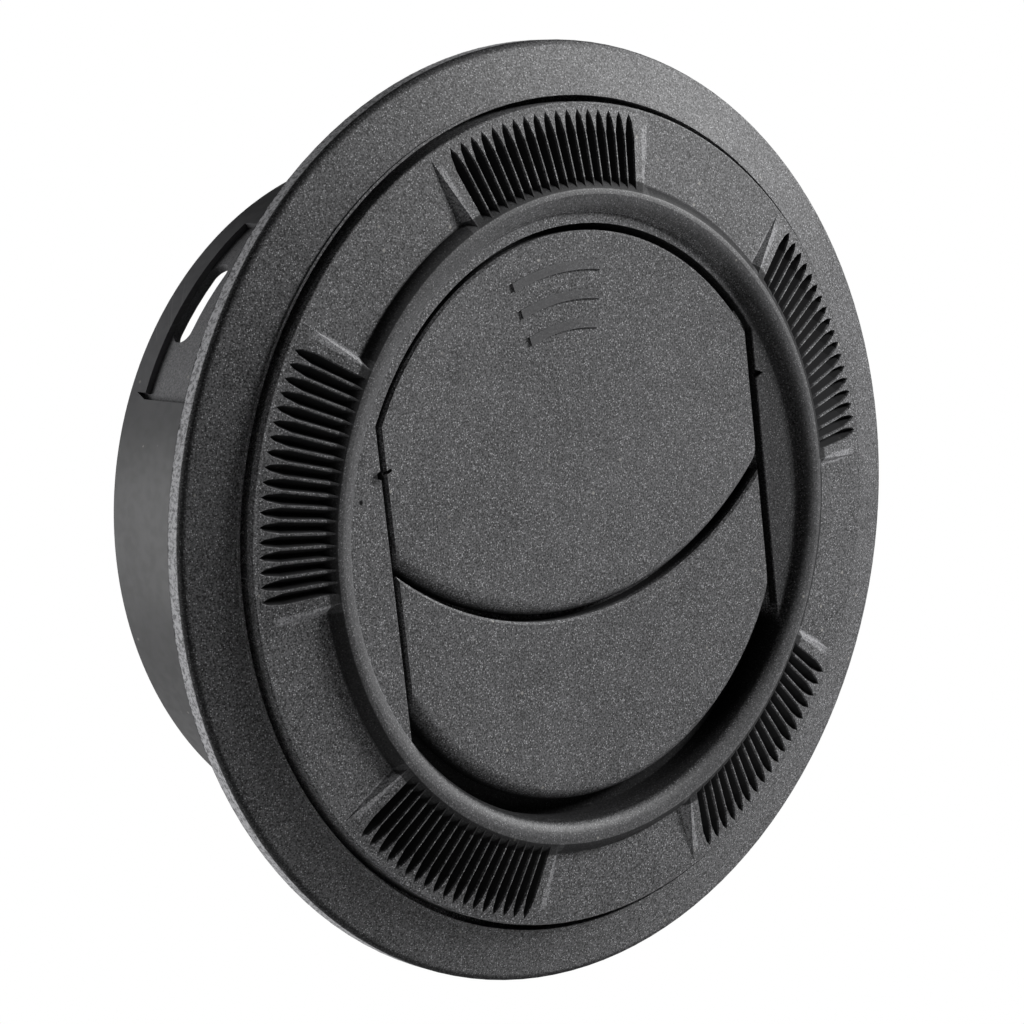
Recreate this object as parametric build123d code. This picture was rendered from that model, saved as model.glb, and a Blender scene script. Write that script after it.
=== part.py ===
from build123d import *
import os
from math import cos, degrees, radians, sin, tan

# Round air vent: a flanged bezel with a neck, a thin duct collar over the neck,
# a grip ring that turns in the bezel, and two linked flaps that close the ring.
# Frame: millimetres, the face looks towards -Y, +Z is up, and the vent's axis is
# the Y axis. The origin is where that axis meets the front of the panel that the
# flange seats on. A height is a distance in front of that panel face, so Y = -height.

# Bezel flange
FLANGE_WIDTH = 5.8
RIM_HEIGHT = 2.0
RIM_ROUNDING = 0.5
BEZEL_FACE_RISE = 1.8
LAND_STEP = 0.15
LAND_WIDTH = 0.28
LIP_RISE = 0.22
FLANGE_WALL = 1.5
FLOOR_THICKNESS = 1.5
CORE_SKIN = 1.2
LIP_ROUNDING = 0.05
BACK_ROUNDING = 0.1
BEARING_ROUNDING = 0.3

# Bezel neck, its clip slot and the ledge that the ring turns on
NECK_RADIUS = 37.25
NECK_WALL = 1.05
NECK_LENGTH = 25.9
BEARING_LEDGE = 2.8
SLOT_LENGTH = 10.1
SLOT_WIDTH = 2.9
SLOT_INSET = 1.4
SLOT_SHIFT = 0.85
REAR_ROUNDING = 0.2

# Duct collar
COLLAR_WALL = 0.7
COLLAR_FIT = 0.05
COLLAR_LIP = 0.45
COLLAR_RELIEF_WIDTH = 0.3
COLLAR_RELIEF_DEPTH = 0.3
WINDOW_CENTRE = 135.25
WINDOW_ANGLE = 34.5
REAR_BAND = 2.3
NOTCH_ANGLE = 1.1
NOTCH_LENGTH = 1.5
NOTCH_EDGE = 0.05

# Grip ring: barrel wall, bead round the opening and sloping face
FIT_CLEARANCE = 0.08
BARREL_WALL = 1.42
BARREL_REAR = 4.6
BEAD_WIDTH = 3.75
BEAD_HEIGHT = 7.25
BEAD_OUTER_ROUNDING = 1.65
FACE_WIDTH = 7.9
FACE_INNER_HEIGHT = 6.0
RING_EDGE_HEIGHT = 4.95
RING_EDGE_ROUNDING = 0.25
SEAT_GAP = 0.65
RUNNING_GAP = 0.3
RING_SHELL = 1.7
CORE_ROUNDING = 0.5
FOOT_WIDTH = 1.6
SKIRT_ROUNDING = 0.2

# Grip pads and their grooves
PAD_COUNT = 5
PAD_FOOT_ANGLE = 20.75
PAD_TOP_ANGLE = 19.5
PAD_MARGIN = 0.55
PAD_OVERLAP = 1.1
PAD_DROP = 0.13
PAD_SUNK = 1.0
PAD_TUCK = 0.3
GROOVE_COUNT = 18
GROOVE_PITCH = 2.0
GROOVE_HALF_ANGLE = 27.0
GROOVE_MARGIN = 0.7
GROOVE_INNER_DEPTH = 1.02
GROOVE_OUTER_DEPTH = 1.28
GROOVE_RUNOUT = 2.4
GROOVE_SHOULDER = 0.62
GROOVE_ROOM = 0.6

# Plates, cheeks and stop inside the barrel
PLATE_DROP = 1.25
PLATE_THICKNESS = 1.2
OPENING_RIM = 0.93
SIDE_PLATE_WIDTH = 4.95
CHEEK_THICKNESS = 1.5
CHEEK_REAR = 1.2
STOP_WIDTH = 3.1
STOP_THICKNESS = 1.4
STOP_HALF_ANGLE = 58.0
LEAD_IN_WIDTH = 1.1
LEAD_IN_DEPTH = 0.55
LEAD_IN_START = 0.2

# Snap fingers
FINGER_COUNT = 6
FINGER_ANGLE = 14.0
FINGER_SLIT = 1.0
FINGER_SLIT_FRONT = 0.9
HOOK_REACH = 1.1
HOOK_LENGTH = 2.2
HOOK_LAND = 0.75
HOOK_ROUNDING = 0.15

# Flaps
FLAP_THICKNESS = 2.2
FLAP_RECESS = 0.2
FLAP_SIDE_GAP = 0.75
FLAP_EDGE_GAP = 0.77
FLAP_PARTING_RADIUS = 38.8
FLAP_PARTING_LOW = 9.8
FLAP_PARTING_GAP = 0.55
FLAP_ROUNDING = 1.8
FLAP_BREAK = 0.25
UPPER_HINGE = 10.25
LOWER_HINGE = -9.0
HINGE_DEPTH = 2.8
FLAP_PIN_RADIUS = 1.1
FLAP_PIN_LENGTH = 1.9
PIN_FIT = 0.05
EAR_WIDTH = 2.0
EAR_HALF_HEIGHT = 2.2
EAR_REACH = 2.2

# Sealing lip of the lower flap, behind the upper flap's bottom edge
SEAL_REACH = 0.9
SEAL_THICKNESS = 1.0
SEAL_ROOT = 1.5

# Lip of the upper flap's top edge, behind the front plate
TOP_LIP_HALF_ANGLE = 56.0
TOP_LIP_GAP = 0.35

# Finger marks on the upper flap
MARK_COUNT = 3
MARK_MARGIN = 3.58
MARK_PITCH = 3.05
MARK_WIDTH = 0.92
MARK_HEIGHT = 0.2
MARK_MIDDLE = 91.2
MARK_HALF_ANGLE = 13.7
TICK_LENGTH = 0.9
TICK_TILT = 17.0
TICK_WIDTH = 0.36
TICK_DEPTH = 0.5

# Link bar
LINK_OFFSET = 7.0
LINK_THICKNESS = 1.6
LINK_WIDTH = 2.4
LINK_EYE_RADIUS = 2.3
LINK_PIN_RADIUS = 1.0
LINK_SIDE_GAP = 0.3
OPEN_PIVOT_CLEARANCE = 0.3
ARM_THICKNESS = 1.5
ARM_END_RADIUS = 2.0
ARM_ROOT = 6.5
ARM_EDGE_DISTANCE = 0.8
PIN_HEAD_RADIUS = 1.45
PIN_HEAD_LENGTH = 0.8

# Flat left between two full roundings of one crest
FLAT_LEFT = 0.005

# Radii worked out from the neck outwards and inwards
NECK_BORE = NECK_RADIUS - NECK_WALL
COLLAR_BORE = NECK_RADIUS + COLLAR_FIT
COLLAR_RADIUS = COLLAR_BORE + COLLAR_WALL
BEARING_RADIUS = NECK_BORE - BEARING_LEDGE
BARREL_OUTER = BEARING_RADIUS - FIT_CLEARANCE
BARREL_RADIUS = BARREL_OUTER - BARREL_WALL
BEAD_RADIUS = BARREL_RADIUS + BEAD_WIDTH
BEAD_INNER_ROUNDING = BEAD_WIDTH - BEAD_OUTER_ROUNDING - FLAT_LEFT
RING_RADIUS = BEAD_RADIUS + FACE_WIDTH
RING_SEAT_RADIUS = RING_RADIUS + SEAT_GAP
LAND_RADIUS = RING_SEAT_RADIUS + LAND_WIDTH
FLANGE_RADIUS = RING_SEAT_RADIUS + FLANGE_WIDTH
PAD_INNER_RADIUS = BEAD_RADIUS - PAD_OVERLAP
PAD_OUTER_RADIUS = RING_RADIUS - PAD_MARGIN
GROOVE_TIP_RADIUS = RING_RADIUS - GROOVE_MARGIN
OPENING_RADIUS = BARREL_RADIUS - OPENING_RIM
OPENING_HALF_WIDTH = BARREL_RADIUS - SIDE_PLATE_WIDTH
FLAP_RADIUS = OPENING_RADIUS - FLAP_EDGE_GAP
FLAP_HALF_WIDTH = OPENING_HALF_WIDTH - FLAP_SIDE_GAP
MARK_OUTER_RADIUS = FLAP_RADIUS - MARK_MARGIN

# Heights, depths and slopes worked out
FACE_HEIGHT = RIM_HEIGHT + BEZEL_FACE_RISE
COLLAR_REAR = NECK_LENGTH + COLLAR_LIP
WINDOW_DEPTH = NECK_LENGTH - REAR_BAND
SLOT_DEPTH = WINDOW_DEPTH - SLOT_INSET
SLOT_ANGLE = WINDOW_CENTRE - SLOT_SHIFT
RING_FOOT = FLOOR_THICKNESS + RUNNING_GAP
FACE_SLOPE = (FACE_INNER_HEIGHT - RING_EDGE_HEIGHT) / FACE_WIDTH
PAD_INNER_HEIGHT = BEAD_HEIGHT - PAD_DROP
PAD_OUTER_HEIGHT = RING_EDGE_HEIGHT + PAD_MARGIN * FACE_SLOPE
PAD_SLOPE = (PAD_INNER_HEIGHT - PAD_OUTER_HEIGHT) / (PAD_OUTER_RADIUS - PAD_INNER_RADIUS)
PLATE_HEIGHT = BEAD_HEIGHT - PLATE_DROP
FLAP_FRONT = PLATE_HEIGHT - FLAP_RECESS
FLAP_BACK = FLAP_FRONT - FLAP_THICKNESS
PARTING_CENTRE = FLAP_PARTING_RADIUS - FLAP_PARTING_LOW
LOWER_TOP_RADIUS = FLAP_PARTING_RADIUS + FLAP_PARTING_GAP
HINGE_HEIGHT = FLAP_FRONT - HINGE_DEPTH
LINK_HEIGHT = HINGE_HEIGHT - LINK_OFFSET
LINK_LEFT = -LINK_THICKNESS / 2
ARM_RIGHT = LINK_LEFT - LINK_SIDE_GAP
LINK_RIGHT = LINK_LEFT + LINK_THICKNESS

# Working values: the angle of the top, the overlap of joined features, how far a cut
# runs past a surface, and a length greater than the whole vent
TOP = 90.0
MERGE = 0.3
OVERCUT = 1.0
FAR = 200.0


def turned(corners, arc=360.0):
    """Solid of revolution about the vent's axis from (radius, height, rounding) corners."""
    outline = [(radius, -height) for radius, height, rounding in corners]
    rounding = [corner[2] for corner in corners]
    section = make_face(FilletPolyline(*outline, radius=rounding, close=True))
    return revolve(section, axis=Axis.Y, revolution_arc=arc)


def front_plane(height):
    """Plane seen from the front at a height: local x is +X, local y is +Z, normal -Y."""
    return Plane(origin=(0, -height, 0), x_dir=(1, 0, 0), z_dir=(0, -1, 0))


def on_ring(radius, angle, height):
    """Point at a radius and angle about the vent's axis, at a height."""
    return Vector(radius * cos(radians(angle)), -height, radius * sin(radians(angle)))


def around(shape, angle):
    """Turn a shape about the vent's axis, anticlockwise as seen from the front."""
    return shape.rotate(Axis.Y, -angle)


def raised(sketch, low, high):
    """Extrude a front-view sketch from one height to a greater one."""
    return extrude(front_plane(low) * sketch, amount=high - low)


def cross_bar(radius, start, end, z, height):
    """Round bar along X from start to end, centred on a hinge line."""
    plane = Plane(origin=(start, -height, z), x_dir=(0, 1, 0), z_dir=(1, 0, 0))
    return extrude(plane * Circle(radius), amount=end - start)


def side_plate(sketch, start, end):
    """Extrude a side-view sketch, drawn as (height, z), along X."""
    plane = Plane(origin=(start, 0, 0), x_dir=(0, -1, 0), z_dir=(-1, 0, 0))
    return extrude(plane * sketch, amount=-(end - start))


# Bezel
def clip_slot():
    """Rounded slot through the neck wall, long way round the neck."""
    radial = on_ring(1, SLOT_ANGLE, 0)
    origin = on_ring(NECK_BORE - NECK_WALL, SLOT_ANGLE, -SLOT_DEPTH)
    plane = Plane(origin=origin, x_dir=radial.cross(Vector(0, 1, 0)), z_dir=radial)
    return extrude(plane * SlotOverall(SLOT_LENGTH, SLOT_WIDTH), amount=4 * NECK_WALL)


def make_bezel():
    """Flange, recess floor with the bearing bore, and neck, moulded in one."""
    core_inner = RING_SEAT_RADIUS + FLANGE_WALL
    core_outer = FLANGE_RADIUS - FLANGE_WALL
    fall = (FACE_HEIGHT - RIM_HEIGHT) / (FLANGE_RADIUS - LAND_RADIUS)
    core_inner_top = RIM_HEIGHT + (FLANGE_RADIUS - core_inner) * fall - CORE_SKIN
    core_outer_top = RIM_HEIGHT + (FLANGE_RADIUS - core_outer) * fall - CORE_SKIN
    relief = COLLAR_RADIUS + COLLAR_RELIEF_WIDTH
    bezel = turned(
        [
            (BEARING_RADIUS, 0, 0),
            (BEARING_RADIUS, FLOOR_THICKNESS, BEARING_ROUNDING),
            (RING_SEAT_RADIUS, FLOOR_THICKNESS, 0),
            (RING_SEAT_RADIUS, FACE_HEIGHT + LIP_RISE, LIP_ROUNDING),
            (LAND_RADIUS, FACE_HEIGHT + LAND_STEP, LIP_ROUNDING),
            (LAND_RADIUS, FACE_HEIGHT, 0),
            (FLANGE_RADIUS, RIM_HEIGHT, RIM_ROUNDING),
            (FLANGE_RADIUS, 0, BACK_ROUNDING),
            (core_outer, 0, 0),
            (core_outer, core_outer_top, 0),
            (core_inner, core_inner_top, 0),
            (core_inner, 0, 0),
            (relief, 0, 0),
            (relief, COLLAR_RELIEF_DEPTH, 0),
            (NECK_RADIUS, COLLAR_RELIEF_DEPTH, 0),
            (NECK_RADIUS, -NECK_LENGTH, 0),
            (NECK_BORE, -NECK_LENGTH, REAR_ROUNDING),
            (NECK_BORE, 0, BEARING_ROUNDING),
        ]
    )
    return bezel - clip_slot()


# Duct collar
def collar_window():
    """Gap in the collar that leaves the neck and its slot bare."""
    length = WINDOW_DEPTH + OVERCUT
    section = Pos(COLLAR_BORE, WINDOW_DEPTH - length / 2) * Rectangle(4 * COLLAR_WALL, length)
    gap = revolve(section, axis=Axis.Y, revolution_arc=WINDOW_ANGLE)
    return around(gap, WINDOW_CENTRE + WINDOW_ANGLE / 2)


def window_notch():
    """Small slanted notch in the rear corner of the collar window."""
    edge = WINDOW_CENTRE + WINDOW_ANGLE / 2
    radial = on_ring(1, edge, 0)
    origin = on_ring(COLLAR_BORE - COLLAR_WALL, edge, -WINDOW_DEPTH)
    plane = Plane(origin=origin, x_dir=Vector(0, 1, 0).cross(radial), z_dir=radial)
    width = COLLAR_RADIUS * radians(NOTCH_ANGLE)
    corners = [(NOTCH_EDGE, -MERGE), (width, -MERGE), (width, NOTCH_LENGTH), (NOTCH_EDGE, 0)]
    notch = Polygon(*corners, align=None)
    return extrude(plane * notch, amount=3 * COLLAR_WALL)


def make_duct_collar():
    """Thin smooth sleeve over the neck, turned in over the neck's rear edge."""
    collar = turned(
        [
            (COLLAR_BORE, 0, 0),
            (COLLAR_RADIUS, 0, 0),
            (COLLAR_RADIUS, -COLLAR_REAR, REAR_ROUNDING),
            (NECK_BORE, -COLLAR_REAR, REAR_ROUNDING),
            (NECK_BORE, -NECK_LENGTH, 0),
            (COLLAR_BORE, -NECK_LENGTH, 0),
        ]
    )
    return collar - collar_window() - window_notch()


# Grip ring
def ring_face():
    """Skirt, sloping face and foot of the ring, hollow behind the face."""
    inner = BARREL_OUTER - MERGE
    foot = BARREL_OUTER + FOOT_WIDTH
    shell = RING_RADIUS - RING_SHELL
    return turned(
        [
            (inner, RING_FOOT, 0),
            (inner, face_height(inner), 0),
            (RING_RADIUS, RING_EDGE_HEIGHT, RING_EDGE_ROUNDING),
            (RING_RADIUS, RING_FOOT, SKIRT_ROUNDING),
            (shell, RING_FOOT, 0),
            (shell, face_height(shell) - RING_SHELL, CORE_ROUNDING),
            (foot, face_height(foot) - RING_SHELL, CORE_ROUNDING),
            (foot, RING_FOOT, 0),
        ]
    )


def face_height(radius):
    """Height of the ring's sloping face at a radius."""
    return RING_EDGE_HEIGHT + (RING_RADIUS - radius) * FACE_SLOPE


def pad_height(radius):
    """Height of a pad's top at a radius."""
    return PAD_OUTER_HEIGHT + (PAD_OUTER_RADIUS - radius) * PAD_SLOPE


def grip_pad():
    """Raised wedge centred on the +X direction, with a sloping facet at each side."""
    inner = PAD_INNER_RADIUS - PAD_TUCK
    low = PAD_OUTER_HEIGHT - PAD_SUNK
    section = [
        (inner, low, 0),
        (inner, pad_height(inner), 0),
        (PAD_OUTER_RADIUS, PAD_OUTER_HEIGHT, 0),
        (PAD_OUTER_RADIUS, low, 0),
    ]
    wedge = around(turned(section, 2 * PAD_FOOT_ANGLE), PAD_FOOT_ANGLE)
    for side in (-1, 1):
        wedge -= pad_facet(side)
    return wedge


def pad_facet(side):
    """Space beyond one sloping side of a pad, which rises from a radial line of the face."""
    outer_foot = on_ring(PAD_OUTER_RADIUS, side * PAD_FOOT_ANGLE, face_height(PAD_OUTER_RADIUS))
    inner_foot = on_ring(PAD_INNER_RADIUS, side * PAD_FOOT_ANGLE, face_height(PAD_INNER_RADIUS))
    inner_top = on_ring(PAD_INNER_RADIUS, side * PAD_TOP_ANGLE, PAD_INNER_HEIGHT)
    along = inner_foot - outer_foot
    outward = along.cross(inner_top - outer_foot) * side
    plane = Plane(origin=outer_foot, x_dir=along, z_dir=outward)
    align = (Align.CENTER, Align.CENTER, Align.MIN)
    return plane * Box(BEAD_RADIUS, BEAD_RADIUS, BEAD_RADIUS, align=align)


def grip_groove():
    """V-shaped cut along +X that runs out in a point near the ring's edge."""
    roof = PAD_INNER_HEIGHT + GROOVE_ROOM
    start = PAD_INNER_RADIUS - PAD_TUCK / 2
    bend = GROOVE_TIP_RADIUS - GROOVE_RUNOUT
    shoulder = GROOVE_TIP_RADIUS - GROOVE_RUNOUT / 3
    valley = [
        (start, pad_height(start) - GROOVE_INNER_DEPTH),
        (bend, pad_height(bend) - GROOVE_OUTER_DEPTH),
        (shoulder, pad_height(shoulder) - GROOVE_SHOULDER * GROOVE_OUTER_DEPTH),
    ]
    rise = (pad_height(GROOVE_TIP_RADIUS) - valley[2][1]) / (GROOVE_TIP_RADIUS - shoulder)
    valley.append((shoulder + (roof - valley[2][1]) / rise, roof))
    spread = tan(radians(GROOVE_HALF_ANGLE))
    low = [Vector(radius, -height, 0) for radius, height in valley]
    left = [Vector(radius, -roof, (roof - height) * spread) for radius, height in valley[:3]]
    right = [Vector(radius, -roof, (height - roof) * spread) for radius, height in valley[:3]]
    outlines = [[low[0], left[0], right[0]], [*left, low[3], *reversed(right)]]
    for side in (left, right):
        outlines.append([low[0], low[1], side[1], side[0]])
        outlines.append([low[1], low[2], side[2], side[1]])
        outlines.append([low[2], low[3], side[2]])
    faces = [Face(Wire.make_polygon(outline, close=True)) for outline in outlines]
    return Solid(Shell(faces))


def bead_and_barrel():
    """Rounded bead round the opening and the barrel that carries it, in one section."""
    shoulder = face_height(BEAD_RADIUS) - RING_SHELL / 2
    return turned(
        [
            (BARREL_OUTER, shoulder, 0),
            (BEAD_RADIUS, shoulder, 0),
            (BEAD_RADIUS, BEAD_HEIGHT, BEAD_OUTER_ROUNDING),
            (BARREL_RADIUS, BEAD_HEIGHT, BEAD_INNER_ROUNDING),
            (BARREL_RADIUS, -BARREL_REAR, REAR_ROUNDING),
            (BARREL_OUTER, -BARREL_REAR, REAR_ROUNDING),
        ]
    )


def opening_plates():
    """Front plate inside the bead, pierced by the opening, which has no ledge at its foot."""
    disc = Circle(BARREL_RADIUS + MERGE)
    slot = Rectangle(2 * OPENING_HALF_WIDTH, FAR)
    upper = Circle(OPENING_RADIUS) & slot
    lower = Circle(BARREL_RADIUS + OVERCUT) & slot & Pos(0, -FAR / 2) * Rectangle(FAR, FAR)
    return raised(disc - upper - lower, PLATE_HEIGHT - PLATE_THICKNESS, PLATE_HEIGHT)


def pivot_cheek(side):
    """Wall behind a side plate that holds the flaps' pins."""
    middle = OPENING_HALF_WIDTH + CHEEK_THICKNESS / 2
    strip = Pos(side * middle, 0) * Rectangle(CHEEK_THICKNESS, FAR)
    return raised(strip & Circle(BARREL_RADIUS + MERGE), -CHEEK_REAR, PLATE_HEIGHT)


def sector(half_angle, middle):
    """Front-view triangle from the axis that spans an angle to each side of a direction."""
    half = FAR * tan(radians(half_angle))
    return Rot(0, 0, middle) * Polygon((0, 0), (FAR, -half), (FAR, half), align=None)


def closing_stop():
    """Crescent ledge behind the lower flap's bottom edge."""
    low = FLAP_BACK - RUNNING_GAP - STOP_THICKNESS
    ledge = Circle(BARREL_RADIUS + MERGE) - Circle(BARREL_RADIUS - STOP_WIDTH)
    return raised(ledge & sector(STOP_HALF_ANGLE, -TOP), low, low + STOP_THICKNESS)


def snap_hook(angle):
    """Hook round part of the barrel's rear end, behind the bezel's floor."""
    front = -RUNNING_GAP
    reach = BARREL_OUTER + HOOK_REACH
    section = [
        (BARREL_RADIUS + MERGE, front, 0),
        (reach, front, HOOK_ROUNDING),
        (reach, front - HOOK_LAND, HOOK_ROUNDING),
        (BARREL_OUTER, front - HOOK_LENGTH, 0),
        (BARREL_RADIUS + MERGE, front - HOOK_LENGTH, 0),
    ]
    return around(turned(section, FINGER_ANGLE), angle + FINGER_ANGLE / 2)


def finger_slits(angle):
    """Two slits through the barrel that free one snap finger."""
    start = on_ring(BARREL_RADIUS, 0, FINGER_SLIT_FRONT)
    align = (Align.CENTER, Align.MIN, Align.CENTER)
    length = BARREL_REAR + FINGER_SLIT_FRONT + OVERCUT
    slit = Pos(*start) * Box(FAR / 40, length, FINGER_SLIT, align=align)
    offset = FINGER_ANGLE / 2 + degrees(FINGER_SLIT / 2 / BARREL_RADIUS)
    return around(slit, angle - offset), around(slit, angle + offset)


def lead_in(side):
    """Shallow V-notch in a side plate's edge, in line with the upper hinge."""
    start = OPENING_HALF_WIDTH - LEAD_IN_START
    half = LEAD_IN_WIDTH / 2
    vee = Polygon((start, half), (start, -half), (OPENING_HALF_WIDTH + LEAD_IN_WIDTH, 0), align=None)
    if side < 0:
        vee = mirror(vee, about=Plane.YZ)
    return raised(Pos(0, UPPER_HINGE) * vee, PLATE_HEIGHT - LEAD_IN_DEPTH, PLATE_HEIGHT + OVERCUT)


def make_grip_ring():
    """Grip ring with pads, bead, barrel, flap cheeks, stop and snap fingers, in one."""
    ring = ring_face()
    pad = grip_pad()
    groove = grip_groove()
    grooves = []
    for pad_index in range(PAD_COUNT):
        centre = TOP + pad_index * 360.0 / PAD_COUNT
        ring += around(pad, centre)
        for index in range(GROOVE_COUNT):
            offset = (index - (GROOVE_COUNT - 1) / 2) * GROOVE_PITCH
            grooves.append(around(groove, centre + offset))
    ring -= grooves
    ring += bead_and_barrel()
    ring += opening_plates()
    ring += closing_stop()
    for index in range(FINGER_COUNT):
        centre = TOP + (index + 0.5) * 360.0 / FINGER_COUNT
        ring += snap_hook(centre)
        for slit in finger_slits(centre):
            ring -= slit
    for side in (-1, 1):
        ring += pivot_cheek(side)
        ring -= lead_in(side)
    reach = OPENING_HALF_WIDTH + CHEEK_THICKNESS + MERGE
    for z in (UPPER_HINGE, LOWER_HINGE):
        ring -= cross_bar(FLAP_PIN_RADIUS + PIN_FIT, -reach, reach, z, HINGE_HEIGHT)
    return ring


# Flaps
def flap_pins(z):
    """Pin at each side of a flap, on an ear behind the plate."""
    pins = Part()
    ear_depth = FLAP_BACK + MERGE - HINGE_HEIGHT + EAR_REACH
    ear = Box(EAR_WIDTH, ear_depth, 2 * EAR_HALF_HEIGHT)
    ear_height = FLAP_BACK + MERGE - ear_depth / 2
    root = FLAP_HALF_WIDTH - EAR_WIDTH
    tip = FLAP_HALF_WIDTH + FLAP_PIN_LENGTH
    for side in (-1, 1):
        pins += Pos(side * (FLAP_HALF_WIDTH - EAR_WIDTH / 2), -ear_height, z) * ear
        start, end = sorted((side * root, side * tip))
        pins += cross_bar(FLAP_PIN_RADIUS, start, end, z, HINGE_HEIGHT)
    return pins


def link_arm(z, root_low):
    """Arm behind a flap with the pin that the link bar turns on, and the pin's snap head."""
    root = FLAP_BACK + MERGE
    corners = [(root, root_low), (root, root_low + ARM_ROOT)]
    corners += [(LINK_HEIGHT, z + ARM_END_RADIUS), (LINK_HEIGHT, z - ARM_END_RADIUS)]
    outline = Polygon(*corners, align=None) + Pos(LINK_HEIGHT, z) * Circle(ARM_END_RADIUS)
    start = ARM_RIGHT - ARM_THICKNESS
    head = LINK_RIGHT + LINK_SIDE_GAP
    arm = side_plate(outline, start, ARM_RIGHT)
    arm += cross_bar(LINK_PIN_RADIUS, start, head + PIN_HEAD_LENGTH, z, LINK_HEIGHT)
    arm += cross_bar(PIN_HEAD_RADIUS, head, head + PIN_HEAD_LENGTH, z, LINK_HEIGHT)
    return arm


def flap_plate(outline):
    """Plate of a flap, its bottom front edge well rounded and the other front edges broken."""
    plate = raised(outline, FLAP_BACK, FLAP_FRONT)
    front = plate.faces().sort_by(Axis.Y)[0]
    bottom = front.edges().filter_by(GeomType.CIRCLE).sort_by(Axis.Z)[0]
    plate = fillet(bottom, FLAP_ROUNDING)
    front = plate.faces().filter_by(GeomType.PLANE).sort_by(Axis.Y)[0]
    return chamfer(front.edges().sort_by(Axis.Z)[1:], FLAP_BREAK)


def finger_marks():
    """Raised curved bars, concentric with the ring, in one sector of the upper flap."""
    marks = Part()
    for index in range(MARK_COUNT):
        radius = MARK_OUTER_RADIUS - index * MARK_PITCH
        band = Circle(radius + MARK_WIDTH / 2) - Circle(radius - MARK_WIDTH / 2)
        band = band & sector(MARK_HALF_ANGLE, MARK_MIDDLE)
        marks += raised(band, FLAP_FRONT - MERGE, FLAP_FRONT + MARK_HEIGHT)
    return marks


def top_lip():
    """Lip along the upper flap's top edge that closes the gap there from behind."""
    front = PLATE_HEIGHT - PLATE_THICKNESS - RUNNING_GAP
    band = Circle(BARREL_RADIUS - TOP_LIP_GAP) - Circle(FLAP_RADIUS - MERGE)
    return raised(band & sector(TOP_LIP_HALF_ANGLE, TOP), FLAP_BACK, front)


def make_upper_flap():
    """Large flap, with finger marks, top lip, pins and the link arm."""
    outline = Circle(FLAP_RADIUS) & Rectangle(2 * FLAP_HALF_WIDTH, FAR)
    outline = outline & Pos(0, PARTING_CENTRE) * Circle(FLAP_PARTING_RADIUS)
    flap = flap_plate(outline)
    flap += finger_marks()
    flap += top_lip()
    notch = Pos(-FLAP_HALF_WIDTH, UPPER_HINGE) * Rot(0, 0, TICK_TILT) * Rectangle(2 * TICK_LENGTH, TICK_WIDTH)
    flap -= raised(notch, FLAP_FRONT - TICK_DEPTH, FLAP_FRONT + OVERCUT)
    flap += flap_pins(UPPER_HINGE)
    flap += link_arm(UPPER_HINGE, UPPER_HINGE - ARM_ROOT / 2)
    return flap


def sealing_lip(blank):
    """Curved lip along the lower flap's top edge that closes the gap from behind."""
    front = FLAP_BACK - RUNNING_GAP
    band = Circle(LOWER_TOP_RADIUS + SEAL_ROOT) - Circle(FLAP_PARTING_RADIUS - SEAL_REACH)
    root = Circle(LOWER_TOP_RADIUS + SEAL_ROOT) - Circle(LOWER_TOP_RADIUS)
    lip = raised(blank & Pos(0, PARTING_CENTRE) * band, front - SEAL_THICKNESS, front)
    return lip + raised(blank & Pos(0, PARTING_CENTRE) * root, front - MERGE, FLAP_BACK + MERGE)


def make_lower_flap():
    """Crescent-topped flap below the large one, with sealing lip, pins and the link arm."""
    blank = Circle(FLAP_RADIUS) & Rectangle(2 * FLAP_HALF_WIDTH, FAR)
    flap = flap_plate(blank - Pos(0, PARTING_CENTRE) * Circle(LOWER_TOP_RADIUS))
    flap += sealing_lip(blank)
    flap += flap_pins(LOWER_HINGE)
    edge = PARTING_CENTRE - LOWER_TOP_RADIUS
    flap += link_arm(LOWER_HINGE, edge - ARM_EDGE_DISTANCE - ARM_ROOT)
    return flap


# Link bar
def make_link_bar():
    """Flat bar with an eye at each end that keeps the two flaps parallel."""
    span = UPPER_HINGE - LOWER_HINGE
    middle = (UPPER_HINGE + LOWER_HINGE) / 2
    bar = Pos(LINK_HEIGHT, middle) * Rectangle(LINK_WIDTH, span)
    bar += Pos(LINK_HEIGHT, UPPER_HINGE) * Circle(LINK_EYE_RADIUS)
    bar += Pos(LINK_HEIGHT, LOWER_HINGE) * Circle(LINK_EYE_RADIUS)
    link = side_plate(bar, LINK_LEFT, LINK_RIGHT)
    start = LINK_LEFT - OVERCUT
    end = LINK_RIGHT + OVERCUT
    link -= cross_bar(LINK_PIN_RADIUS + PIN_FIT, start, end, UPPER_HINGE, LINK_HEIGHT)
    link -= cross_bar(LINK_PIN_RADIUS + OPEN_PIVOT_CLEARANCE, start, end, LOWER_HINGE, LINK_HEIGHT)
    return link


os.makedirs("parts", exist_ok=True)
nodes = {
    "bezel": make_bezel(),
    "duct_collar": make_duct_collar(),
    "grip_ring": make_grip_ring(),
    "upper_flap": make_upper_flap(),
    "lower_flap": make_lower_flap(),
    "link_bar": make_link_bar(),
}
for name, shape in nodes.items():
    export_step(shape, f"parts/{name}.step")
    print(name, round(shape.volume, 1), shape.bounding_box().size)
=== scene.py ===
"""Round air vent: finishes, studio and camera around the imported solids."""

import logging
import math
from dataclasses import dataclass, field
from enum import Enum
from typing import Any, Callable

import bpy
from mathutils import Matrix, Vector

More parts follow.
